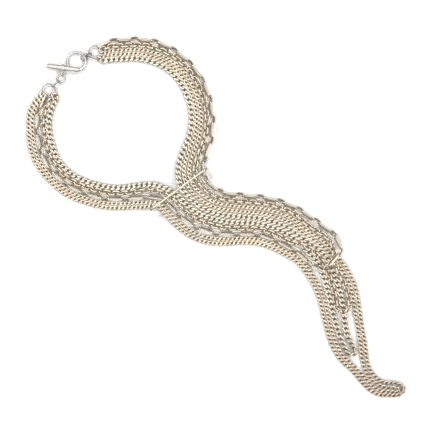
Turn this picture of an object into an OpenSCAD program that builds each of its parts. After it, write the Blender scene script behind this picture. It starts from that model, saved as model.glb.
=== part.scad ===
// Long necklace of five chains, lying on its back as it is laid out flat.
// Millimetres. X runs to the right, Y away from the wearer's feet, Z up from the surface that it lies on.
// The origin is under the middle of the outline. Each chain starts at the right end ring, goes round the
// neck and through the slide bar, turns in the tassel, and comes back to the left end ring.

/* [Fine curb chains] */
// Width of a fine curb chain, lying flat
fine_w = 3.7; // [3.4:0.1:3.7]
// Thickness of a fine curb chain
fine_t = 2.7; // [2:0.1:2.9]

/* [Wide curb chain] */
// Width of the wide curb chain, lying flat
wide_w = 4.7; // [4:0.1:4.7]
// Thickness of the wide curb chain
wide_t = 3.2; // [2.4:0.1:3.2]

/* [Cable chain] */
// Width over two neighbouring links of the cable chain
cable_w = 4.6; // [4:0.1:4.6]
// Height over two neighbouring links of the cable chain
cable_t = 4.5; // [3.6:0.1:4.5]

/* [Long and short chain] */
// Outer length of a long link
long_link_l = 16.2; // [15:0.1:17]
// Outer width of a long link
long_link_w = 5.2; // [4.4:0.1:5.4]
// Outer length of an oval ring
oval_ring_l = 10.1; // [9:0.1:11]
// Outer width of an oval ring
oval_ring_w = 8.4; // [7:0.1:8.4]
// Diameter of the wire of both
link_wire = 1.3; // [1:0.05:1.3]
// Play between two links that are pulled straight
link_play = 0.3; // [0.28:0.01:0.4]

/* [Slide bar] */
// Length over both ends
slide_l = 71; // [70:0.1:72]
// Diameter of its wire
slide_wire = 2.2; // [1.8:0.1:2.2]
// Clear height between its two rails
slide_gap = 6.8; // [6.7:0.1:7.6]

/* [Clasp] */
// Diameter of the T-bar
bar_d = 4.3; // [3.6:0.1:4.4]
// Length of the T-bar
bar_l = 32.6; // [28:0.1:34]
// Diameter of the collar at the middle of the T-bar
collar_d = 6.4; // [4.8:0.1:6.4]
// Mean diameter of the toggle ring
toggle_ring_d = 18.2; // [18:0.1:18.6]
// Diameter of the toggle ring's wire
toggle_ring_wire = 2.3; // [1.8:0.1:2.3]
// Mean diameter of the two end rings
end_ring_d = 13; // [12.8:0.1:13.2]
// Diameter of the end rings' wire
end_ring_wire = 1.4; // [1.1:0.1:1.4]
// Diameter of the small rings' wire
small_wire = 1.2; // [0.9:0.05:1.2]

/* [Hidden] */
$fn = 48;

// Each band of five chains lies between two edges. A row is a crosswise line over the band:
// outer x, outer y, inner x, inner y, height of what the chains lie on there.
// The right band runs from the right end ring, the left band from the left end ring, both to the tassel.
right_band = [
    [-104, 177.5, -105, 155, 0],
    [-92, 178.5, -93, 155.5, 0],
    [-77, 179.5, -80, 156, 0],
    [-60.5, 177, -67, 153.5, 0],
    [-44.5, 170.5, -55, 148.5, 0],
    [-30.5, 160.5, -44.5, 141, 0],
    [-19, 148, -36.5, 131, 0],
    [-10.5, 134.5, -31.5, 120, 0],
    [-5.5, 121, -28, 109, 0],
    [-2, 107, -27, 98, 0],
    [-1.5, 92, -28, 87, 0],
    [-3, 77, -31, 76.5, 0],
    [-7, 64, -36, 65.5, 0],
    [-11, 54.5, -40, 53, 1.2],
    [-11.5, 46, -41, 39, 2.35],
    [-7.5, 38, -36, 25, 2.35],
    [-0.5, 30.5, -27, 15.5, 1.2],
    [9.5, 25.5, -14, 6, 0],
    [22, 24, 4, 0, 0],
    [36, 23, 24, -2.5, 0],
    [52, 21, 44, -4, 0],
    [68.5, 16.3, 58, -8, 0],
    [84.5, 9, 70.5, -13, 0]];
left_band = [
    [-183.5, 114.5, -160.5, 112, 0],
    [-188.5, 105, -163, 103.5, 0],
    [-190, 92.5, -164.5, 93, 0],
    [-189.5, 79, -163, 81.5, 0],
    [-187, 65, -159.5, 69, 0],
    [-181.5, 51.5, -155, 58, 0],
    [-172.5, 39.5, -147.5, 49, 0],
    [-161.6, 28.3, -138.5, 42.4, 0],
    [-147.6, 18.7, -127.5, 37.6, 0],
    [-131, 12.5, -116, 34, 0],
    [-114, 8, -103, 32, 0],
    [-97, 7, -90, 32, 0],
    [-81, 7.5, -76, 34.5, 0],
    [-70, 8, -61, 35.2, 1.4],
    [-60.2, 9.8, -49.2, 30.8, 2.3],
    [-54, 2.5, -37.5, 24.5, 2.35],
    [-45.5, -6.5, -28, 15, 1.2],
    [-35, -16, -15, 5.5, 0],
    [-22, -24, -2, 1.5, 0],
    [-7, -28, 10, -1.5, 0],
    [9, -28.5, 22, -3, 0],
    [24, -27.5, 34, -3.2, 0],
    [39, -28, 47, -4.8, 0],
    [53, -31.9, 61.5, -9.5, 0],
    [68, -39.4, 77, -17.5, 0],
    [80.5, -47.4, 96, -29, 0]];
// The chains' places across a band, from its outer edge to its inner edge
lane_widths_right = [5.2, 5.9, 4.7, 4.7, 5.7];
lane_widths_left = [4.2, 4.2, 6.6, 5, 5.4];
// Directions, in degrees, in which the outer and inner chains leave each end ring
fan_right = [70, -76];
fan_left = [196, 338];

// Each chain's own way through the tassel, from the right band to the left band:
// x, y, height of what it lies on, how far it is turned on its edge in degrees
fine_outer_way = [
    [86.8, -10.2, 0, 0], [96.4, -17.2, 0, 0], [105.5, -23.2, 0, 0], [114, -30.3, 0, 0], [120.5, -38.3, 0, 0],
    [127, -46.6, 0, 0], [133, -55.3, 0, 0], [137.3, -64.5, 0, 0], [140.3, -74.5, 0, 0],
    [143, -91, 0, 0], [145.5, -108, 0, 0], [149, -128, 0, 0],
    [150.5, -142, 0, 0], [153, -150.5, 0, 0], [159, -159.5, 0, 0], [168, -165, 0, 20], [178, -165.5, 0, 30],
    [185, -167, 0, 70], [188.3, -171.8, 0, 90], [185, -176.5, 0, 110], [178, -178.4, 0, 150],
    [166, -178.1, 0, 165], [155.5, -174, 0, 180], [145.5, -164.5, 0, 180], [135.5, -153, 0, 180],
    [123, -141, 0, 180], [115.5, -127.5, 0, 180], [110, -110.5, 0, 180], [106.5, -95.5, 0, 180],
    [102.5, -80, 0, 180], [95, -64, 0, 180]];
fine_inner_way = [
    [84.2, -13.8, 0, 0], [93.8, -20.8, 0, 0], [102.8, -26.8, 0, 0], [110.7, -33.6, 0, 0], [117, -41.2, 0, 0],
    [123.4, -49.4, 0, 0], [129.1, -57.6, 0, 0], [133.1, -66.1, 0, 0], [136, -75.6, 0, 0],
    [138.5, -91.5, 0, 0], [141, -109, 0, 0], [144.5, -129, 0, 0],
    [146, -143, 0, 0], [148.7, -152.5, 0, 0], [155.5, -163, 0, 0], [166.5, -169.3, 0, 25],
    [176, -170, 0, 50], [182, -170.3, 0, 85], [184.2, -172.2, 0, 90], [182, -174.1, 0, 95],
    [176, -174.4, 0, 130], [166.5, -173.9, 0, 155], [157.8, -170.2, 0, 180], [148.8, -161.2, 0, 180],
    [138.8, -149.8, 0, 180], [126.3, -138, 0, 180], [119.6, -125.5, 0, 180], [114.4, -109.5, 0, 180],
    [111, -94.5, 0, 180], [107, -78.5, 0, 180], [99.2, -61.8, 0, 180]];
wide_way = [
    [81.6, -17.5, 0, 0], [91.1, -24.5, 0, 0], [100, -30.4, 0, 0], [107.5, -37, 0, 0], [113, -45.5, 0, 0],
    [117.2, -55, 0, 0], [120.9, -65, 0, 0], [123.9, -75, 0, 0], [126, -85, 0, 0],
    [127.5, -96.5, 0, 0], [129, -109, 0, 0],
    [131.8, -120, 0, 20], [136.2, -127.5, 0, 60], [139.4, -132.5, 0, 80], [138, -137, 0, 90],
    [133.6, -137.8, 0, 100], [128.6, -131, 0, 130], [123.6, -119, 0, 170], [119.5, -106.5, 0, 180],
    [116.5, -95, 0, 180], [114, -84, 0, 180], [111.5, -73.5, 0, 180], [108.5, -62.5, 0, 180],
    [104.5, -52, 0, 180], [99, -42.5, 0, 180], [92, -35, 0, 180], [84.5, -26.8, 0, 180],
    [76.5, -20.3, 0, 180]];
cable_way = [
    [89.5, -6.2, 0, 0], [99, -12.7, 0, 0], [107.5, -18, 1.6, 0], [114, -24, 2.95, 0], [117, -32, 2.95, 0],
    [117.6, -42, 2.95, 0], [120.6, -52, 2.95, 0], [125.3, -61, 0.5, 0], [129, -70, 0, 0],
    [132, -79, 0.2, 0], [133.5, -87.5, 1.9, 0],
    [130, -94.5, 3.4, 0], [124.5, -95, 3.4, 0], [120.5, -90, 1.5, 0], [119.2, -82, 0, 0],
    [118, -73, 0, 0], [116, -67, 0, 0], [113.3, -58, 0, 0], [109, -48, 0, 0], [103, -39.5, 0.5, 0],
    [95, -31.5, 3.35, 0], [87, -28, 3.5, 0], [80, -26.3, 2.95, 0], [73.5, -24.2, 0.8, 0]];
long_and_short_way = [
    [107, -9.5, 0, 0], [115.5, -16, 1.2, 0], [121.5, -22.5, 3.4, 0], [124.5, -30, 5.6, 0],
    [121, -37.5, 7.6, 0], [115.5, -44, 8, 0], [111, -49.5, 7.5, 0], [107.5, -53.5, 6, 0],
    [100, -51, 4, 0], [93, -45.6, 1.5, 0]];

// How many rows of the left band each chain follows before its own way begins
left_rows_all = len(left_band);
left_rows_short = len(left_band) - 2;

// The chains' tubes
tube_sides = 10;
pinch_at_ring = 0.45;
pinch_run = 24;
tube_start = [(end_ring_d + end_ring_wire) / 2 + 1.4, 0, 0];
tube_reach = [tube_start, tube_start];
fine_steps = 6;

// The long links and the oval rings lean opposite ways, so that each can pass through the other
ring_lean = -45;
link_lean = 45;
joint_height = 3.35;
link_reach = [[end_ring_d / 2 - 1, -0.6, 35], [1.8, -1.2, 35]];

// Places and leans of the clasp and the rings
toggle_ring_at = [-139.5, 155.5];
toggle_ring_low = 1.15;
toggle_ring_lift = 0.75;
end_ring_right_at = [-120.5, 164.5, 2.6];
end_ring_left_at = [-167, 126.5, 2.6];
ring_run = 25.3;
inner_link_reach = 8.9;
inner_link_d = 7.2;
inner_link_z = 2.85;
inner_link_lean = 38;
outer_link_reach = 13.9;
outer_link_d = 5.6;
outer_link_z = 2.6;
outer_link_lean = -38;
bar_at = [-152.6, 148.9, 4];
bar_heading = -7.6;
bar_rise = 6.3;
bar_round = 0.7;
collar_l = 3;
eye_at = [-154.1, 142.7, 2.4];
eye_d = 3.4;
stem_d = 1.6;
jump_ring_at = [-155, 138.3, 2.2];
jump_ring_d = 8.8;
oval_link_at = [-160.2, 133.2, 2.55];
oval_link_l = 10.4;
oval_link_w = 5;
oval_link_heading = 42;
slide_at = [-37.1, 27.8];
slide_heading = 36.6;

bright = [0.86, 0.86, 0.87];
grey = [0.58, 0.57, 0.56];
cream = [0.86, 0.83, 0.76];
aged = [0.72, 0.68, 0.6];
pale = [0.8, 0.77, 0.7];

// A smooth way through points, with knots that follow the square root of their distance
function place(p) = [p[0], p[1], p[2]];
function knot(t, a, b) = t + sqrt(max(norm(place(b) - place(a)), 0.01));
function mix(a, b, ta, tb, t) = a * ((tb - t) / (tb - ta)) + b * ((t - ta) / (tb - ta));
function bend(a, b, c, d, u) =
    let (ta = 0, tb = knot(ta, a, b), tc = knot(tb, b, c), td = knot(tc, c, d), t = tb + (tc - tb) * u)
    let (ab = mix(a, b, ta, tb, t), bc = mix(b, c, tb, tc, t), cd = mix(c, d, tc, td, t))
    mix(mix(ab, bc, ta, tc, t), mix(bc, cd, tb, td, t), tb, tc, t);
function before(p) = 2 * p[0] - p[1];
function after(p) = let (n = len(p)) 2 * p[n - 1] - p[n - 2];
function smooth_way(p, steps) =
    let (n = len(p), q = concat([before(p)], p, [after(p)]))
    [for (i = [0:n - 2]) for (k = [0:steps - 1]) bend(q[i], q[i + 1], q[i + 2], q[i + 3], k / steps),
     p[n - 1]];

// One chain's points in a band: lane is its place from 0 at the outer edge to 1 at the inner edge
function sum_to(w, i) = i < 0 ? 0 : w[i] + sum_to(w, i - 1);
function lane(w, i) = (sum_to(w, i - 1) + w[i] / 2) / sum_to(w, len(w) - 1);
function in_band(band, f, rows, turn) =
    [for (i = [0:rows - 1]) let (r = band[i])
     [r[0] + (r[2] - r[0]) * f, r[1] + (r[3] - r[1]) * f, r[4], turn]];
function at_ring(c, reach, fan, f, turn) =
    let (a = fan[0] + (fan[1] - fan[0]) * f)
    [c[0] + reach[0] * cos(a), c[1] + reach[0] * sin(a), reach[1], turn + reach[2]];
function backwards(p) = [for (i = [len(p) - 1:-1:0]) p[i]];

// A whole chain's way, from the right end ring to the left one
function whole_way(place_right, place_left, way, rows_left, reach) =
    let (fr = lane(lane_widths_right, place_right), fl = lane(lane_widths_left, place_left))
    let (turned = way[len(way) - 1][3])
    concat([at_ring(end_ring_right_at, reach[0], fan_right, fr, 0)],
           in_band(right_band, fr, len(right_band), 0),
           way,
           backwards(in_band(left_band, fl, rows_left, turned)),
           [at_ring(end_ring_left_at, reach[1], fan_left, fl, turned)]);

// A chain's outer form: an oval swept along its way, lying on what is under it
function half_height(w, t, turn) = norm([w / 2 * sin(turn), t / 2 * cos(turn)]);
function raised(p, w, t) = [for (q = p) [q[0], q[1], q[2] + half_height(w, t, q[3]), q[3]]];
function run_to(p, i) = i == 0 ? 0 : norm(place(p[i]) - place(p[i - 1])) + run_to(p, i - 1);
function pinch(d) = pinch_at_ring + (1 - pinch_at_ring) * min(1, d / pinch_run);
function unit(v) = v / norm(v);
function oval_ring(p, i, w, t, from_end) =
    let (n = len(p), ahead = unit(place(p[min(i + 1, n - 1)]) - place(p[max(i - 1, 0)])))
    let (side = unit(cross(ahead, [0, 0, 1])), up = cross(side, ahead), turn = p[i][3])
    let (wide = w * pinch(from_end))
    [for (k = [0:tube_sides - 1])
     let (a = 360 * (k + 0.5) / tube_sides, u = wide / 2 * cos(a), v = t / 2 * sin(a))
     place(p[i]) + side * (u * cos(turn) - v * sin(turn)) + up * (u * sin(turn) + v * cos(turn))];

module chain_tube(way, w, t) {
    p = raised(way, w, t);
    n = len(p);
    far = 2 * pinch_run;
    rings = [for (i = [0:n - 1])
        let (near = i < n / 2 ? run_to([for (j = [0:min(i, 3)]) p[j]], min(i, 3)) : far,
             back = n - 1 - i,
             last = back < n / 2 ? run_to([for (j = [0:min(back, 3)]) p[n - 1 - j]], min(back, 3)) : far)
        each oval_ring(p, i, w, t, min(near, last))];
    sides = [for (i = [0:n - 2]) for (k = [0:tube_sides - 1])
        let (a = i * tube_sides + k, b = i * tube_sides + (k + 1) % tube_sides)
        each [[a, b, b + tube_sides], [a, b + tube_sides, a + tube_sides]]];
    start = [for (k = [tube_sides - 1:-1:0]) k];
    finish = [for (k = [0:tube_sides - 1]) (n - 1) * tube_sides + k];
    polyhedron(points = rings, faces = concat([start], sides, [finish]));
}

// An oval link of round wire, lying flat with its length along X
module oval_link(length, width, wire) {
    r = (width - wire) / 2;
    straight = length - width;
    for (end = [0, 1])
        rotate([0, 0, 180 * end]) {
            translate([straight / 2, 0, 0])
                rotate([0, 0, -90])
                    rotate_extrude(angle = 180) translate([r, 0]) circle(d = wire);
            translate([0, r, 0])
                rotate([0, 90, 0]) cylinder(d = wire, h = straight, center = true);
        }
}

// A round ring of wire, lying flat
module wire_ring(mean_d, wire) {
    rotate_extrude() translate([mean_d / 2, 0]) circle(d = wire);
}

// The points at which neighbouring links hold each other: each is one link's reach from the last
function meets(a, b, c, r) =
    let (d = b - a, f = a - c, qa = d * d, qb = 2 * (f * d), qc = f * f - r * r)
    (-qb + sqrt(max(qb * qb - 4 * qa * qc, 0))) / (2 * qa);
function segment_beyond(p, i, from, r) =
    i >= len(p) - 2 || norm(place(p[i + 1] - from)) >= r ? i : segment_beyond(p, i + 1, from, r);
function joints(p, reaches, k, i, from) =
    let (r = reaches[k % 2], j = segment_beyond(p, i, from, r), room = norm(place(p[len(p) - 1] - from)))
    room < r ? [from] :
    let (t = meets(place(p[j]), place(p[j + 1]), place(from), r))
    concat([from], joints(p, reaches, k + 1, j, p[j] + (p[j + 1] - p[j]) * t));

module chain_fine_outer() {
    color(aged)
        chain_tube(whole_way(2, 0, fine_outer_way, left_rows_all, tube_reach), fine_w, fine_t);
}

module chain_fine_inner() {
    color(aged)
        chain_tube(whole_way(3, 1, fine_inner_way, left_rows_all, tube_reach), fine_w, fine_t);
}

module chain_wide() {
    color(pale)
        chain_tube(whole_way(4, 4, wide_way, left_rows_short, tube_reach), wide_w, wide_t);
}

module chain_cable() {
    color(pale)
        chain_tube(whole_way(1, 3, cable_way, left_rows_short, tube_reach), cable_w, cable_t);
}

// Long links in turn with oval rings, each a loose solid that passes through its neighbours
module chain_long_and_short() {
    low = whole_way(0, 2, long_and_short_way, left_rows_all, link_reach);
    way = smooth_way([for (q = low) q + [0, 0, joint_height, 0]], fine_steps);
    reaches = [long_link_l - 2 * link_wire - link_play, oval_ring_l - 2 * link_wire - link_play];
    held = joints(way, reaches, 0, 0, way[0]);
    color(aged)
        for (k = [0:len(held) - 2]) {
            is_long = k % 2 == 0;
            ahead = place(held[k + 1] - held[k]);
            turn = (held[k][3] + held[k + 1][3]) / 2;
            translate(place(held[k] + held[k + 1]) / 2)
                rotate([0, 0, atan2(ahead[1], ahead[0])])
                    rotate([0, -asin(ahead[2] / norm(ahead)), 0])
                        rotate([turn + (is_long ? link_lean : ring_lean), 0, 0])
                            oval_link(is_long ? long_link_l : oval_ring_l,
                                      is_long ? long_link_w : oval_ring_w, link_wire);
        }
}

// A long narrow loop of wire: one rail over all the chains, one under them
module slide_bar() {
    mean_r = (slide_gap + slide_wire) / 2;
    height = slide_gap + 2 * slide_wire;
    color(cream)
        translate([slide_at[0], slide_at[1], height / 2])
            rotate([90, 0, slide_heading])
                oval_link(slide_l, 2 * mean_r + slide_wire, slide_wire);
}

// A round bar with softened ends
module soft_bar(d, length, soft) {
    rotate_extrude() {
        translate([0, -length / 2]) square([d / 2 - soft, length]);
        translate([0, -length / 2 + soft]) square([d / 2, length - 2 * soft]);
        for (end = [-1, 1])
            intersection() {
                translate([d / 2 - soft, end * (length / 2 - soft)]) circle(r = soft);
                translate([0, -length]) square([d, 2 * length]);
            }
    }
}

// The T-bar, its collar and its eye are soldered into one piece
module toggle_bar() {
    root = bar_at - [0.2, 1.2, 0.4];
    run = eye_at + [0, eye_d / 2, 0] - root;
    color(bright) {
        translate(bar_at)
            rotate([0, 0, bar_heading])
                rotate([0, 90 - bar_rise, 0]) {
                    soft_bar(bar_d, bar_l, bar_round);
                    soft_bar(collar_d, collar_l, 0.5);
                }
        translate(root)
            rotate([0, 0, atan2(run[1], run[0])])
                rotate([0, acos(run[2] / norm(run)), 0])
                    cylinder(d = stem_d, h = norm(run));
        translate(eye_at) rotate([0, 90, 0]) wire_ring(eye_d, small_wire);
    }
}

// The toggle ring lies under the bar, and its far side is held up by its link
module toggle_ring() {
    color(bright)
        translate([toggle_ring_at[0], toggle_ring_at[1], toggle_ring_low + toggle_ring_lift])
            rotate([0, 0, ring_run])
                rotate([0, -asin(toggle_ring_lift / (toggle_ring_d / 2)), 0])
                    wire_ring(toggle_ring_d, toggle_ring_wire);
}

module small_ring(reach, mean_d, z, lean) {
    color(grey)
        translate([toggle_ring_at[0] + reach * cos(ring_run), toggle_ring_at[1] + reach * sin(ring_run), z])
            rotate([0, 0, ring_run])
                rotate([lean, 0, 0])
                    wire_ring(mean_d, small_wire);
}

module ring_link_inner() {
    small_ring(inner_link_reach, inner_link_d, inner_link_z, inner_link_lean);
}

module ring_link_outer() {
    small_ring(outer_link_reach, outer_link_d, outer_link_z, outer_link_lean);
}

module bar_jump_ring() {
    color(grey) translate(jump_ring_at) wire_ring(jump_ring_d, small_wire);
}

module bar_oval_link() {
    color(grey)
        translate(oval_link_at)
            rotate([90, 0, oval_link_heading])
                oval_link(oval_link_l, oval_link_w, small_wire);
}

module end_ring_right() {
    color(grey) translate(end_ring_right_at) wire_ring(end_ring_d, end_ring_wire);
}

module end_ring_left() {
    color(grey) translate(end_ring_left_at) wire_ring(end_ring_d, end_ring_wire);
}

chain_fine_outer();
chain_fine_inner();
chain_wide();
chain_cable();
chain_long_and_short();
slide_bar();
toggle_bar();
toggle_ring();
ring_link_inner();
ring_link_outer();
bar_jump_ring();
bar_oval_link();
end_ring_right();
end_ring_left();
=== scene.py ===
import math

import bpy
import numpy as np
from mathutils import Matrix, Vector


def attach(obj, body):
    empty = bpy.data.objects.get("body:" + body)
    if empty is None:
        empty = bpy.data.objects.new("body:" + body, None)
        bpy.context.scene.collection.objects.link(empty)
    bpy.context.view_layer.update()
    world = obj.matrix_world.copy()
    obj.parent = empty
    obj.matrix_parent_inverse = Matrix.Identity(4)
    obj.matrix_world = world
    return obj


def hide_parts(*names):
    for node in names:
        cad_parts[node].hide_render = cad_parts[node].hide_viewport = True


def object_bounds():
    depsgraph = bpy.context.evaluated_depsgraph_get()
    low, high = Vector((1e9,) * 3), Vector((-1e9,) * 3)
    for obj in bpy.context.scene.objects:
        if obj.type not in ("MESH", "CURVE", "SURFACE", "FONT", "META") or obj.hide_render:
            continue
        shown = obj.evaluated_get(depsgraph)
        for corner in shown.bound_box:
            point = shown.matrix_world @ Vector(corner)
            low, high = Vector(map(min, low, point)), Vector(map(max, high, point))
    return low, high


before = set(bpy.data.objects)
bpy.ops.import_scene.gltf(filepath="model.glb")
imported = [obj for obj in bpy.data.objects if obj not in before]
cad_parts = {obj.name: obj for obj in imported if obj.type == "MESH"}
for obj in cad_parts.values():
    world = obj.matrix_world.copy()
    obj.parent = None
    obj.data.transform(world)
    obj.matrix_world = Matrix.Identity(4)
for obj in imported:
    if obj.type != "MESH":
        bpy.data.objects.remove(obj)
cadBox = [[float(v) for v in corner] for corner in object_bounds()]
print("frame loaded with", len(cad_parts), "nodes")

# Chains are described in millimetres and degrees, as in the part's source, and scene places in metres
mm = 0.001
up = np.array([0.0, 0.0, 1.0])
tiny = 1e-6                             # keeps a division from going by zero


# A node socket that can be used in plain arithmetic
class Signal:
    def __init__(self, tree, socket=None):
        self.tree = tree
        self.socket = socket

    def make(self, kind, settings, inputs, output=0):
        node = self.tree.nodes.new(kind)
        for name, value in settings.items():
            setattr(node, name, value)
        for key, value in inputs.items():
            if isinstance(value, Signal):
                self.tree.links.new(value.socket, node.inputs[key])
            else:
                node.inputs[key].default_value = value
        if output is None:              # a node that ends the tree
            return self
        return Signal(self.tree, node.outputs[output])

    def maths(self, operation, first, second):
        return self.make("ShaderNodeMath", {"operation": operation}, {0: first, 1: second})

    def __add__(self, other):
        return self.maths("ADD", self, other)

    def __radd__(self, other):
        return self.maths("ADD", other, self)

    def __sub__(self, other):
        return self.maths("SUBTRACT", self, other)

    def __rsub__(self, other):
        return self.maths("SUBTRACT", other, self)

    def __mul__(self, other):
        return self.maths("MULTIPLY", self, other)

    def __rmul__(self, other):
        return self.maths("MULTIPLY", other, self)

    def between(self, low, high):       # 0 below low, 1 above high, smooth in between
        return self.make("ShaderNodeMapRange", {"interpolation_type": "SMOOTHSTEP"},
                         {"Value": self, "From Min": low, "From Max": high})

    def colours(self, low, high):       # mixes two colours, which are a Mix node's sockets 6 and 7
        return self.make("ShaderNodeMix", {"data_type": "RGBA"}, {0: self, 6: low, 7: high}, 2)


# Camera straight above the middle of the photo
view = {
    "centre": [0.0, 1.0],               # mm
    "frameWidth": 432.0,                # floor that the picture spans, mm
    "height": 2.4,
    "sensor": 36.0,                     # mm
    "clipEnd": 20.0}


def makeCamera():
    cameraData = bpy.data.cameras.new("camera")
    cameraData.sensor_width = view["sensor"]
    cameraData.lens = view["sensor"] * view["height"] / (view["frameWidth"] * mm)
    cameraData.clip_end = view["clipEnd"]
    camera = bpy.data.objects.new("camera", cameraData)
    camera.location = (view["centre"][0] * mm, view["centre"][1] * mm, view["height"])
    bpy.context.scene.collection.objects.link(camera)
    bpy.context.scene.camera = camera


# Light: a bright sky overhead that darkens towards the floor and that only silver mirrors, two small
# lamps for highlights, and a ring of lamps that whitens the floor and that silver doesn't mirror
light = {
    "lamps": {
        "left": {"place": (-0.9, 0.9, 1.1), "size": 0.35, "power": 5.0, "warmth": (1.0, 1.0, 1.0)},
        "right": {"place": (0.9, -0.5, 1.2), "size": 0.3, "power": 3.0, "warmth": (1.0, 1.0, 1.0)}},
    "ring": {"count": 8, "reach": 1.7, "height": 1.5, "size": 0.5, "power": 11.0,
             "warmth": (1.0, 0.98, 0.95)},
    "zenith": 1.18,
    "ground": 0.36,
    "risesFrom": -0.1,                  # heights in the sky, with 1 straight up
    "risesTo": 0.95,
    "warmth": (1.0, 0.985, 0.96, 1.0)}


def addLamp(name, setup, mirrored=True):
    lampData = bpy.data.lights.new(name + "Lamp", "AREA")
    lampData.size = setup["size"]
    lampData.energy = setup["power"]
    lampData.color = setup["warmth"]
    lamp = bpy.data.objects.new(name + "Lamp", lampData)
    lamp.location = setup["place"]
    x, y, z = setup["place"]
    lamp.rotation_euler = (math.atan2(math.hypot(x, y), z), 0.0, math.atan2(y, x) + math.pi / 2)
    lamp.visible_glossy = mirrored
    bpy.context.scene.collection.objects.link(lamp)


def makeLamps():
    for name, setup in light["lamps"].items():
        addLamp(name, setup)
    ring = light["ring"]
    for k in range(ring["count"]):
        angle = 2 * math.pi * k / ring["count"]
        place = (ring["reach"] * math.cos(angle), ring["reach"] * math.sin(angle), ring["height"])
        addLamp("ring" + str(k), dict(ring, place=place), mirrored=False)


def makeSky():
    world = bpy.data.worlds.new("studio")
    bpy.context.scene.world = world
    world.use_nodes = True
    world.cycles_visibility.diffuse = False     # so that the floor between the chains stays dark
    world.node_tree.nodes.clear()
    start = Signal(world.node_tree)
    direction = start.make("ShaderNodeTexCoord", {}, {}, "Generated")
    height = start.make("ShaderNodeSeparateXYZ", {}, {"Vector": direction}, "Z")
    rise = height.between(light["risesFrom"], light["risesTo"])
    strength = rise * (light["zenith"] - light["ground"]) + light["ground"]
    sky = start.make("ShaderNodeBackground", {}, {"Color": light["warmth"], "Strength": strength})
    start.make("ShaderNodeOutputWorld", {}, {"Surface": sky}, None)


def newMaterial(name):
    material = bpy.data.materials.new(name)
    material.use_nodes = True
    material.node_tree.nodes.clear()
    return material, Signal(material.node_tree)


floorLook = {"size": 6.0, "colour": (0.93, 0.93, 0.93, 1.0), "roughness": 0.9, "specular": 0.1}


def makeFloor():
    half = floorLook["size"] / 2
    corners = [(-half, -half, 0), (half, -half, 0), (half, half, 0), (-half, half, 0)]
    mesh = bpy.data.meshes.new("floor")
    mesh.from_pydata(corners, [], [(0, 1, 2, 3)])
    floor = bpy.data.objects.new("floor", mesh)
    bpy.context.scene.collection.objects.link(floor)
    material, start = newMaterial("paleFloor")
    surface = start.make("ShaderNodeBsdfPrincipled", {}, {
        "Base Color": floorLook["colour"], "Roughness": floorLook["roughness"],
        "Specular IOR Level": floorLook["specular"]})
    start.make("ShaderNodeOutputMaterial", {}, {"Surface": surface}, None)
    mesh.materials.append(material)
    floor.visible_glossy = False        # silver mirrors the dim ground of the sky instead


makeCamera()
makeLamps()
makeSky()
makeFloor()
bpy.context.scene.view_settings.view_transform = "Standard"
print("camera, light and floor made")

# Silver of the chains: worn bright where a link faces outwards, and dark with tarnish and painted shade
# where it faces its neighbours and its own hole; darker and redder towards the tassel's tip
agedShadedLook = {
    "bright": (0.95, 0.87, 0.74, 1.0),
    "dull": (0.55, 0.50, 0.42, 1.0),
    "toneSpread": 0.12,                 # how far the dullest link goes from bright to dull
    # dark: tarnish in the hollows together with painted shade, where a link faces its neighbours
    "dark": (0.30, 0.225, 0.145, 1.0),
    "darkFrom": 0.1,
    "brightFrom": 0.85,
    "tipBright": (0.78, 0.68, 0.58, 1.0),
    "tipDark": (0.20, 0.14, 0.10, 1.0),
    "roughBright": 0.24,
    "roughDark": 0.5,
    "cloud": 180.0,                     # a noise's scale, for stains of about 5 mm
    "cloudDetail": 3.0,
    "cloudReach": 0.5,
    "cloudRough": 0.1,
    "grain": 900.0,
    "grainDetail": 2.0,
    "grainDepth": 0.15,
    "grainHeight": 0.0002}
paleShadedLook = dict(agedShadedLook, bright=(0.96, 0.91, 0.80, 1.0), dark=(0.32, 0.265, 0.19, 1.0))

# Silver of the bar, clasp and rings: smooth, with faint patches and a very fine grain
polishedLook = {
    "bright": (0.82, 0.81, 0.78, 1.0),
    "shade": (0.68, 0.67, 0.64, 1.0),
    "roughLow": 0.24,
    "roughHigh": 0.4,
    "cloud": 120.0,
    "cloudDetail": 4.0,
    "patchFrom": 0.35,
    "patchTo": 0.75,
    "grain": 2400.0,
    "grainDetail": 1.0,
    "grainDepth": 0.05,
    "grainHeight": 0.0001}
# a darker copy of the polished silver for the small rings and links, as painted shade
shadedGreyLook = dict(polishedLook, bright=(0.56, 0.55, 0.53, 1.0), shade=(0.40, 0.38, 0.36, 1.0))
creamLook = dict(polishedLook, bright=(0.80, 0.74, 0.62, 1.0), shade=(0.70, 0.64, 0.52, 1.0))


def noiseOn(start, place, scale, detail):
    return start.make("ShaderNodeTexNoise", {}, {"Vector": place, "Scale": scale, "Detail": detail})


def closeMetal(start, place, look, colour, rough):
    grain = noiseOn(start, place, look["grain"], look["grainDetail"])
    bump = start.make("ShaderNodeBump", {}, {
        "Strength": look["grainDepth"], "Distance": look["grainHeight"], "Height": grain})
    surface = start.make("ShaderNodeBsdfPrincipled", {}, {
        "Base Color": colour, "Metallic": 1.0, "Roughness": rough, "Normal": bump})
    start.make("ShaderNodeOutputMaterial", {}, {"Surface": surface}, None)


def agedShadedSilver(name, look):
    material, start = newMaterial(name)
    outer, tone, fade = [start.make("ShaderNodeAttribute", {"attribute_name": label}, {}, "Fac")
                         for label in ("outer", "tone", "fade")]
    place = start.make("ShaderNodeTexCoord", {}, {}, "Object")
    stain = noiseOn(start, place, look["cloud"], look["cloudDetail"]) - 0.5     # noise lies round 0.5
    # wear and painted shade: 0 where a wire faces into the chain and is painted dark, 1 where it faces out
    wearAndShadeMix = (outer + stain * look["cloudReach"]).between(look["darkFrom"], look["brightFrom"])
    bright = (tone * look["toneSpread"]).colours(look["bright"], look["dull"])
    dark = fade.colours(look["dark"], look["tipDark"])
    colour = wearAndShadeMix.colours(dark, fade.colours(bright, look["tipBright"]))
    rough = wearAndShadeMix * (look["roughBright"] - look["roughDark"]) + look["roughDark"]
    closeMetal(start, place, look, colour, rough + stain * look["cloudRough"])
    return material


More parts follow.
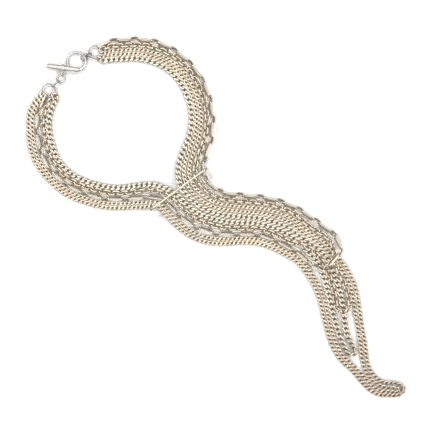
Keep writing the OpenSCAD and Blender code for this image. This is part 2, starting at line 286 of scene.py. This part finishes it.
def polishedSilver(name, look):
    material, start = newMaterial(name)
    place = start.make("ShaderNodeTexCoord", {}, {}, "Object")
    cloud = noiseOn(start, place, look["cloud"], look["cloudDetail"])
    patch = cloud.between(look["patchFrom"], look["patchTo"])
    rough = patch * (look["roughHigh"] - look["roughLow"]) + look["roughLow"]
    closeMetal(start, place, look, patch.colours(look["bright"], look["shade"]), rough)
    return material


finishes = {
    "aged_silver": agedShadedSilver("agedShadedSilver", agedShadedLook),
    "pale_silver": agedShadedSilver("paleShadedSilver", paleShadedLook),
    "polished_silver": polishedSilver("polishedSilver", polishedLook),
    "grey_silver": polishedSilver("shadedGreySilver", shadedGreyLook),
    "cream_silver": polishedSilver("creamSilver", creamLook)}
print("silver finishes made")

# Routes: each row of a band is outer x, outer y, inner x, inner y, height of what the chains lie on there
rightBand = [
    [-104, 177.5, -105, 155, 0],
    [-92, 178.5, -93, 155.5, 0],
    [-77, 179.5, -80, 156, 0],
    [-60.5, 177, -67, 153.5, 0],
    [-44.5, 170.5, -55, 148.5, 0],
    [-30.5, 160.5, -44.5, 141, 0],
    [-19, 148, -36.5, 131, 0],
    [-10.5, 134.5, -31.5, 120, 0],
    [-5.5, 121, -28, 109, 0],
    [-2, 107, -27, 98, 0],
    [-1.5, 92, -28, 87, 0],
    [-3, 77, -31, 76.5, 0],
    [-7, 64, -36, 65.5, 0],
    [-11, 54.5, -40, 53, 1.2],
    [-11.5, 46, -41, 39, 2.35],
    [-7.5, 38, -36, 25, 2.35],
    [-0.5, 30.5, -27, 15.5, 1.2],
    [9.5, 25.5, -14, 6, 0],
    [22, 24, 4, 0, 0],
    [36, 23, 24, -2.5, 0],
    [52, 21, 44, -4, 0],
    [68.5, 16.3, 58, -8, 0],
    [84.5, 9, 70.5, -13, 0]]
leftBand = [
    [-183.5, 114.5, -160.5, 112, 0],
    [-188.5, 105, -163, 103.5, 0],
    [-190, 92.5, -164.5, 93, 0],
    [-189.5, 79, -163, 81.5, 0],
    [-187, 65, -159.5, 69, 0],
    [-181.5, 51.5, -155, 58, 0],
    [-172.5, 39.5, -147.5, 49, 0],
    [-161.6, 28.3, -138.5, 42.4, 0],
    [-147.6, 18.7, -127.5, 37.6, 0],
    [-131, 12.5, -116, 34, 0],
    [-114, 8, -103, 32, 0],
    [-97, 7, -90, 32, 0],
    [-81, 7.5, -76, 34.5, 0],
    [-70, 8, -61, 35.2, 1.4],
    [-60.2, 9.8, -49.2, 30.8, 2.3],
    [-54, 2.5, -37.5, 24.5, 2.35],
    [-45.5, -6.5, -28, 15, 1.2],
    [-35, -16, -15, 5.5, 0],
    [-22, -24, -2, 1.5, 0],
    [-7, -28, 10, -1.5, 0],
    [9, -28.5, 22, -3, 0],
    [24, -27.5, 34, -3.2, 0],
    [39, -28, 47, -4.8, 0],
    [53, -31.9, 61.5, -9.5, 0],
    [68, -39.4, 77, -17.5, 0],
    [80.5, -47.4, 96, -29, 0]]

# Each side of the neck: its band, the widths of its lanes from the outer edge to the inner one, the
# middle of its end ring, and the directions in which the outer and inner chains leave that ring
rightSide = {
    "band": rightBand, "lanes": [5.2, 5.9, 4.7, 4.7, 5.7],
    "ring": [-120.5, 164.5], "fan": [70, -76]}
leftSide = {
    "band": leftBand, "lanes": [4.2, 4.2, 6.6, 5, 5.4],
    "ring": [-167, 126.5], "fan": [196, 338]}
endRing = {
    "radius": 6.5,                      # to the middle of its wire
    "height": 2.6,
    "landing": 9.6,                     # how far from the ring's middle a chain has come down
    "landingLift": 0.4}                 # height of the chain there, as a share of its height at the ring

# Each chain's own way through the tassel: x, y, height of what it lies on, turn on its edge
fineOuterWay = [
    [86.8, -10.2, 0, 0], [96.4, -17.2, 0, 0], [105.5, -23.2, 0, 0], [114, -30.3, 0, 0], [120.5, -38.3, 0, 0],
    [127, -46.6, 0, 0], [133, -55.3, 0, 0], [137.3, -64.5, 0, 0], [140.3, -74.5, 0, 0],
    [143, -91, 0, 0], [145.5, -108, 0, 0], [149, -128, 0, 0],
    [150.5, -142, 0, 0], [153, -150.5, 0, 0], [159, -159.5, 0, 0], [168, -165, 0, 20], [178, -165.5, 0, 30],
    [185, -167, 0, 70], [188.3, -171.8, 0, 90], [185, -176.5, 0, 110], [178, -178.4, 0, 150],
    [166, -178.1, 0, 165], [155.5, -174, 0, 180], [145.5, -164.5, 0, 180], [135.5, -153, 0, 180],
    [123, -141, 0, 180], [115.5, -127.5, 0, 180], [110, -110.5, 0, 180], [106.5, -95.5, 0, 180],
    [102.5, -80, 0, 180], [95, -64, 0, 180]]
fineInnerWay = [
    [84.2, -13.8, 0, 0], [93.8, -20.8, 0, 0], [102.8, -26.8, 0, 0], [110.7, -33.6, 0, 0], [117, -41.2, 0, 0],
    [123.4, -49.4, 0, 0], [129.1, -57.6, 0, 0], [133.1, -66.1, 0, 0], [136, -75.6, 0, 0],
    [138.5, -91.5, 0, 0], [141, -109, 0, 0], [144.5, -129, 0, 0],
    [146, -143, 0, 0], [148.7, -152.5, 0, 0], [155.5, -163, 0, 0], [166.5, -169.3, 0, 25],
    [176, -170, 0, 50], [182, -170.3, 0, 85], [184.2, -172.2, 0, 90], [182, -174.1, 0, 95],
    [176, -174.4, 0, 130], [166.5, -173.9, 0, 155], [157.8, -170.2, 0, 180], [148.8, -161.2, 0, 180],
    [138.8, -149.8, 0, 180], [126.3, -138, 0, 180], [119.6, -125.5, 0, 180], [114.4, -109.5, 0, 180],
    [111, -94.5, 0, 180], [107, -78.5, 0, 180], [99.2, -61.8, 0, 180]]
wideWay = [
    [81.6, -17.5, 0, 0], [91.1, -24.5, 0, 0], [100, -30.4, 0, 0], [107.5, -37, 0, 0], [113, -45.5, 0, 0],
    [117.2, -55, 0, 0], [120.9, -65, 0, 0], [123.9, -75, 0, 0], [126, -85, 0, 0],
    [127.5, -96.5, 0, 0], [129, -109, 0, 0],
    [131.8, -120, 0, 20], [136.2, -127.5, 0, 60], [139.4, -132.5, 0, 80], [138, -137, 0, 90],
    [133.6, -137.8, 0, 100], [128.6, -131, 0, 130], [123.6, -119, 0, 170], [119.5, -106.5, 0, 180],
    [116.5, -95, 0, 180], [114, -84, 0, 180], [111.5, -73.5, 0, 180], [108.5, -62.5, 0, 180],
    [104.5, -52, 0, 180], [99, -42.5, 0, 180], [92, -35, 0, 180], [84.5, -26.8, 0, 180],
    [76.5, -20.3, 0, 180]]
cableWay = [
    [89.5, -6.2, 0, 0], [99, -12.7, 0, 0], [107.5, -18, 1.6, 0], [114, -24, 2.95, 0], [117, -32, 2.95, 0],
    [117.6, -42, 2.95, 0], [120.6, -52, 2.95, 0], [125.3, -61, 0.5, 0], [129, -70, 0, 0],
    [132, -79, 0.2, 0], [133.5, -87.5, 1.9, 0],
    [130, -94.5, 3.4, 0], [124.5, -95, 3.4, 0], [120.5, -90, 1.5, 0], [119.2, -82, 0, 0],
    [118, -73, 0, 0], [116, -67, 0, 0], [113.3, -58, 0, 0], [109, -48, 0, 0], [103, -39.5, 0.5, 0],
    [95, -31.5, 3.35, 0], [87, -28, 3.5, 0], [80, -26.3, 2.95, 0], [73.5, -24.2, 0.8, 0]]
longAndShortWay = [
    [107, -9.5, 0, 0], [115.5, -16, 1.2, 0], [121.5, -22.5, 3.4, 0], [124.5, -30, 5.6, 0],
    [121, -37.5, 7.6, 0], [115.5, -44, 8, 0], [111, -49.5, 7.5, 0], [107.5, -53.5, 6, 0],
    [100, -51, 4, 0], [93, -45.6, 1.5, 0]]


def laneShare(side, place):             # a lane's middle, from 0 at the outer edge to 1 at the inner one
    lanes = side["lanes"]
    return (sum(lanes[:place]) + lanes[place] / 2) / sum(lanes)


def bandPoints(side, share, turn, rowsOff=0):
    rows = side["band"][:len(side["band"]) - rowsOff]
    return [[outerX + (innerX - outerX) * share, outerY + (innerY - outerY) * share, lift, turn]
            for outerX, outerY, innerX, innerY, lift in rows]


def ringPoint(side, reach, share, lift, turn):
    outerAngle, innerAngle = side["fan"]
    angle = math.radians(outerAngle + (innerAngle - outerAngle) * share)
    middleX, middleY = side["ring"]
    return [middleX + reach * math.cos(angle), middleY + reach * math.sin(angle), lift, turn]


def wholeWay(chain):
    # from inside the right end ring, round the neck, through the tassel and back to the left end ring
    right = laneShare(rightSide, chain["rightLane"])
    left = laneShare(leftSide, chain["leftLane"])
    turned = chain["way"][-1][3]
    hooked = endRing["radius"] - chain["hook"]
    landing = endRing["landing"]
    atRing = endRing["height"] - chain["rise"]
    comingDown = endRing["landingLift"] * atRing
    points = [ringPoint(rightSide, hooked, right, atRing, chain["turnAtRing"]),
              ringPoint(rightSide, landing, right, comingDown, 0)]
    points += bandPoints(rightSide, right, 0) + chain["way"]
    points += bandPoints(leftSide, left, turned, chain["leftRowsOff"])[::-1]
    points += [ringPoint(leftSide, landing, left, comingDown, turned),
               ringPoint(leftSide, hooked, left, atRing, turned - chain["turnAtRing"])]
    return np.array(points, float)


def smoothWay(points, steps):
    # a smooth way through all the points, with knots that follow the square root of their distance
    closest = 0.01
    ends = np.vstack([2 * points[0] - points[1], points, 2 * points[-1] - points[-2]])
    shares = np.linspace(0, 1, steps, endpoint=False)[:, None]
    pieces = []
    for a, b, c, d in zip(ends, ends[1:], ends[2:], ends[3:]):
        gaps = [math.sqrt(max(np.linalg.norm((q - p)[:3]), closest)) for p, q in ((a, b), (b, c), (c, d))]
        ta = 0.0
        tb, tc, td = np.cumsum(gaps)
        t = tb + (tc - tb) * shares

        def mix(p, q, tp, tq):
            return p * ((tq - t) / (tq - tp)) + q * ((t - tp) / (tq - tp))

        ab, bc, cd = mix(a, b, ta, tb), mix(b, c, tb, tc), mix(c, d, tc, td)
        pieces.append(mix(mix(ab, bc, ta, tc), mix(bc, cd, tb, td), tb, tc))
    return np.vstack(pieces + [points[-1:]])


def layOut(points, width, thickness):
    # raises a way's points to the middle of a chain that lies on them
    turn = np.radians(points[:, 3])
    raised = points.copy()
    raised[:, 2] += np.hypot(width / 2 * np.sin(turn), thickness / 2 * np.cos(turn))
    return raised


def evenPoints(way, pitch):
    # points a pitch apart along the way, with the pitch eased to end on the last point
    run = np.concatenate([[0], np.cumsum(np.linalg.norm(np.diff(way[:, :3], axis=0), axis=1))])
    count = round(run[-1] / pitch)
    marks = np.linspace(0, run[-1], count + 1)
    return np.stack([np.interp(marks, run, way[:, k]) for k in range(way.shape[1])], axis=1)


def reachPoints(way, reaches):
    # points along the way whose straight distances from one to the next are the reaches in turn
    points = [way[0]]
    segment = 0
    while True:
        last = points[-1]
        reach = reaches[(len(points) - 1) % len(reaches)]
        if np.linalg.norm((way[-1] - last)[:3]) < reach:
            return np.array(points)
        while segment < len(way) - 2 and np.linalg.norm((way[segment + 1] - last)[:3]) < reach:
            segment += 1
        step = way[segment + 1] - way[segment]
        gap = (way[segment] - last)[:3]
        a = step[:3] @ step[:3]
        b = 2 * gap @ step[:3]
        c = gap @ gap - reach * reach
        points.append(way[segment] + step * (-b + math.sqrt(max(b * b - 4 * a * c, 0))) / (2 * a))


# Link shapes: a closed loop of wire with its length along X and its flat side up
holeWearAndShade = {"onTop": 0.6, "swing": 0.7}     # wear and painted shade: brightness on top of a wire, and how much more outside


def outerness(points, facing, outward, ownHole):
    # how far each point of a wire faces away from the chain's axis and, by ownHole's share, from the
    # middle of the link's own hole; where it faces inwards, the silver gets painted shade
    fromAxis = points * [0, 1, 1]
    fromAxis /= np.maximum(np.linalg.norm(fromAxis, axis=1), tiny)[:, None]
    fromChain = np.sum(facing * fromAxis, axis=1)
    fromHole = holeWearAndShade["onTop"] + holeWearAndShade["swing"] * np.sum(facing * outward, axis=1)
    return (1 - ownHole) * fromChain + ownHole * fromHole


def wireLoop(centre, wire, deep, chain):
    # a tube round a closed line, wire wide in the link's plane and deep across it
    ahead = np.roll(centre, -1, axis=0) - np.roll(centre, 1, axis=0)
    ahead /= np.linalg.norm(ahead, axis=1)[:, None]
    outward = centre - np.sum(centre * ahead, axis=1)[:, None] * ahead
    outward /= np.linalg.norm(outward, axis=1)[:, None]
    across = np.cross(ahead, outward)
    count, sides = len(centre), chain["sides"]
    angles = np.linspace(0, 2 * math.pi, sides, endpoint=False)[None, :, None]
    facing = outward[:, None, :] * np.cos(angles) + across[:, None, :] * np.sin(angles)
    aside = np.broadcast_to(wire, count)[:, None, None] * np.cos(angles)
    section = (outward[:, None, :] * aside + across[:, None, :] * deep * np.sin(angles)) / 2
    points = (centre[:, None, :] + section).reshape(-1, 3)
    outer = outerness(points, facing.reshape(-1, 3), np.repeat(outward, sides, axis=0), chain["ownHole"])
    limit = chain["filed"] * np.abs(points[:, 2]).max()     # filed flat there, or with 1 not at all
    points[:, 2] = np.clip(points[:, 2], -limit, limit)
    ring, side = np.meshgrid(np.arange(count), np.arange(sides), indexing="ij")
    nextRing, nextSide = (ring + 1) % count, (side + 1) % sides
    faces = np.stack([ring * sides + side, nextRing * sides + side,
                      nextRing * sides + nextSide, ring * sides + nextSide], axis=-1).reshape(-1, 4)
    return {"points": points, "faces": faces, "outer": outer}


def curbLink(chain):
    # an oval link twisted from end to end, so that a row of them lies flat, of wire that is broader along
    # its sides than round its tips
    turn = np.linspace(0, 2 * math.pi, chain["steps"], endpoint=False)
    halfLength = (chain["pitch"] + chain["tipWire"]) / 2
    halfWidth = (chain["width"] - chain["sideWire"]) / 2
    along = halfLength * np.cos(turn)
    aside = halfWidth * np.sin(turn)
    twist = -math.radians(chain["twist"]) * along / halfLength
    centre = np.stack([along, aside * np.cos(twist), aside * np.sin(twist)], axis=1)
    wire = chain["tipWire"] + (chain["sideWire"] - chain["tipWire"]) * np.sin(turn) ** 2
    return wireLoop(centre, wire, chain["deep"], chain)


def ovalLink(length, width, wire, chain):
    # two straight sides and two half circles, with points spread evenly round them
    radius = (width - wire) / 2
    straight = length - width
    arc = math.pi * radius
    centre = []
    for run in np.linspace(0, 2 * (straight + arc), chain["steps"], endpoint=False):
        half, rest = divmod(run, straight + arc)
        sign = 1 if half < 1 else -1
        if rest < arc:
            angle = rest / radius - math.pi / 2
            x = straight / 2 + radius * math.cos(angle)
            y = radius * math.sin(angle)
        else:
            x = straight / 2 - (rest - arc)
            y = radius
        centre.append([sign * x, sign * y, 0])
    return wireLoop(np.array(centre, float), wire, wire, chain)


# The silver fades along the tassel
tassel = {"from": np.array([95.0, -45.0]), "to": np.array([180.0, -172.0])}

# No link lies lower or farther out than the solids do
roomLow = np.array(cadBox[0]) / mm
roomHigh = np.array(cadBox[1]) / mm


def fadeAt(spot):                       # from 0 where the tassel begins to 1 at its tip
    run = tassel["to"] - tassel["from"]
    return float(np.clip((spot[:2] - tassel["from"]) @ run / (run @ run), 0, 1))


def putLinks(chain, forms, joints, leans):
    # one link from each joint to the next; forms are used in turn, and each is rolled about the chain as
    # its way turns and as it leans
    count = len(joints) - 1
    tones = np.random.default_rng(len(joints)).random(len(joints))
    points = []
    faces = []
    # per point: outer sets wear and painted shade, tone and fade the silver's own tone
    wearShadeAndTone = {"outer": [], "tone": [], "fade": []}
    used = 0
    for k in range(count):
        form = forms[k % len(forms)]
        middle = (joints[k] + joints[k + 1]) / 2
        ahead = (joints[k + 1] - joints[k])[:3]
        ahead = ahead / np.linalg.norm(ahead)
        left = np.cross(up, ahead)
        left /= np.linalg.norm(left)
        above = np.cross(ahead, left)
        roll = math.radians(middle[3] + leans[k])
        side = left * math.cos(roll) + above * math.sin(roll)
        top = above * math.cos(roll) - left * math.sin(roll)
        place = form["points"] @ np.stack([ahead, side, top]) + middle[:3]
        place += np.maximum(roomLow - place.min(axis=0), 0) - np.maximum(place.max(axis=0) - roomHigh, 0)
        points.append(place)
        faces.append(form["faces"] + used)
        wearShadeAndTone["outer"].append(form["outer"])
        wearShadeAndTone["tone"].append(np.full(len(place), tones[k]))
        wearShadeAndTone["fade"].append(np.full(len(place), fadeAt(middle)))
        used += len(place)
    mesh = bpy.data.meshes.new(chain["name"])
    mesh.from_pydata((np.vstack(points) * mm).tolist(), [], np.vstack(faces).tolist())
    mesh.shade_smooth()
    mesh.materials.append(finishes[chain["slot"]])
    for label, values in wearShadeAndTone.items():
        numbers = np.concatenate(values).astype(np.float32)
        mesh.attributes.new(label, "FLOAT", "POINT").data.foreach_set("value", numbers)
    piece = bpy.data.objects.new(chain["name"], mesh)
    bpy.context.scene.collection.objects.link(piece)
    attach(piece, "root")
    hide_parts(chain["node"])
    print(chain["name"], "has", count, "links and", 2 * len(mesh.polygons), "triangles")


def wander(count, size, seed, reach):
    # slow random change along a chain, in degrees
    noise = np.random.default_rng(seed).normal(0, 1, count + 2 * reach)
    smooth = np.convolve(noise, np.hanning(2 * reach + 1), "valid")
    return size * smooth / max(smooth.std(), tiny)


def restless(count, chain):
    # the slow sway of a chain and the small shake of its links
    slow, quick = 12, 1
    return (wander(count, chain["sway"], chain["seed"], slow)
            + wander(count, chain["shake"], chain["seed"] + 1, quick))


# Curb chains: the wire is broad along a link's sides, slim round its tips, and filed flat
fineOuter = {
    "name": "fineCurbOuter", "node": "chain_fine_outer", "slot": "aged_silver",
    "rightLane": 2, "leftLane": 0, "way": fineOuterWay, "leftRowsOff": 0,
    "pitch": 4.3, "width": 4.6, "sideWire": 2.0, "tipWire": 1.55, "deep": 1.6, "twist": 56, "filed": 0.88,
    "rise": 1.4,                        # half of the chain's thickness
    "hook": 0.75,                       # how far it reaches in past the middle of an end ring's wire
    "turnAtRing": 50, "sway": 6, "shake": 4, "seed": 3,
    "ownHole": 0.0, "steps": 32, "sides": 10, "waySteps": 12}
fineInner = dict(fineOuter, name="fineCurbInner", node="chain_fine_inner", rightLane=3, leftLane=1,
                 way=fineInnerWay, seed=5)
wide = dict(fineOuter, name="wideCurb", node="chain_wide", slot="pale_silver", rightLane=4, leftLane=4,
            way=wideWay, leftRowsOff=2, pitch=5.2, width=6.6, sideWire=2.75, tipWire=2.15, deep=1.9,
            rise=1.65, seed=8)


def makeCurb(chain):
    way = smoothWay(layOut(wholeWay(chain), chain["width"], 2 * chain["rise"]), chain["waySteps"])
    joints = evenPoints(way, chain["pitch"])
    putLinks(chain, [curbLink(chain)], joints, restless(len(joints) - 1, chain))


# Cable chain: oval links in turn near flat and near upright
cable = {
    "name": "cableChain", "node": "chain_cable", "slot": "aged_silver",
    "rightLane": 1, "leftLane": 3, "way": cableWay, "leftRowsOff": 2,
    "length": 8.2, "width": 6.3, "wire": 1.9, "filed": 1.0, "lean": [20, -65],
    "rise": 2.6, "hook": 0.75, "turnAtRing": 0, "sway": 8, "shake": 5, "seed": 13,
    "ownHole": 0.6, "steps": 32, "sides": 10, "waySteps": 12}


def makeCable(chain):
    way = smoothWay(layOut(wholeWay(chain), 2 * chain["rise"], 2 * chain["rise"]), chain["waySteps"])
    joints = evenPoints(way, chain["length"] - 2 * chain["wire"])
    count = len(joints) - 1
    leans = np.resize(chain["lean"], count) + restless(count, chain)
    link = ovalLink(chain["length"], chain["width"], chain["wire"], chain)
    putLinks(chain, [link], joints, leans)


# Long links in turn with oval rings, each where its solid is, of a wire drawn thicker towards the inside
longAndShort = {
    "name": "longAndShortChain", "node": "chain_long_and_short", "slot": "aged_silver",
    "rightLane": 0, "leftLane": 2, "way": longAndShortWay,
    "longLength": 16.2, "longWidth": 5.2, "ringLength": 10.1, "ringWidth": 8.4,
    "wire": 1.3, "drawnWire": 1.65, "play": 0.3, "filed": 1.0, "lean": [45, -45], "jointHeight": 3.35,
    "atRight": {"reach": 5.5, "lift": -0.6, "turn": 35},
    "atLeft": {"reach": 1.8, "lift": -1.2, "turn": 35},
    "ownHole": 1.0, "steps": 44, "sides": 12, "waySteps": 6}


def makeLongAndShort(chain):
    right = laneShare(rightSide, chain["rightLane"])
    left = laneShare(leftSide, chain["leftLane"])
    start, finish = chain["atRight"], chain["atLeft"]
    points = [ringPoint(rightSide, start["reach"], right, start["lift"], start["turn"])]
    points += bandPoints(rightSide, right, 0) + chain["way"] + bandPoints(leftSide, left, 0)[::-1]
    points += [ringPoint(leftSide, finish["reach"], left, finish["lift"], finish["turn"])]
    way = smoothWay(np.array(points, float) + [0, 0, chain["jointHeight"], 0], chain["waySteps"])
    joints = reachPoints(way, [chain["longLength"] - 2 * chain["wire"] - chain["play"],
                               chain["ringLength"] - 2 * chain["wire"] - chain["play"]])
    longLink = ovalLink(chain["longLength"], chain["longWidth"], chain["drawnWire"], chain)
    ovalRing = ovalLink(chain["ringLength"], chain["ringWidth"], chain["drawnWire"], chain)
    putLinks(chain, [longLink, ovalRing], joints, np.resize(chain["lean"], len(joints) - 1))


for curb in (fineOuter, fineInner, wide):
    makeCurb(curb)
makeCable(cable)
makeLongAndShort(longAndShort)

# Bar, clasp and rings keep their solids and get a smooth finish
smoothPieces = {
    "slide_bar": "cream_silver",
    "toggle_bar": "polished_silver",
    "toggle_ring": "polished_silver",
    # the small rings and links get the darker copy of the polished silver, as painted shade
    "ring_link_inner": "grey_silver",
    "ring_link_outer": "grey_silver",
    "bar_jump_ring": "grey_silver",
    "bar_oval_link": "grey_silver",
    "end_ring_right": "grey_silver",
    "end_ring_left": "grey_silver"}


def finishSolid(solid, slotName):
    if not solid.material_slots:
        solid.data.materials.append(None)
    for materialSlot in solid.material_slots:
        materialSlot.material = finishes[slotName]


for nodeName, finishName in smoothPieces.items():
    finishSolid(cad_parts[nodeName], finishName)
print("bar, clasp and rings finished")
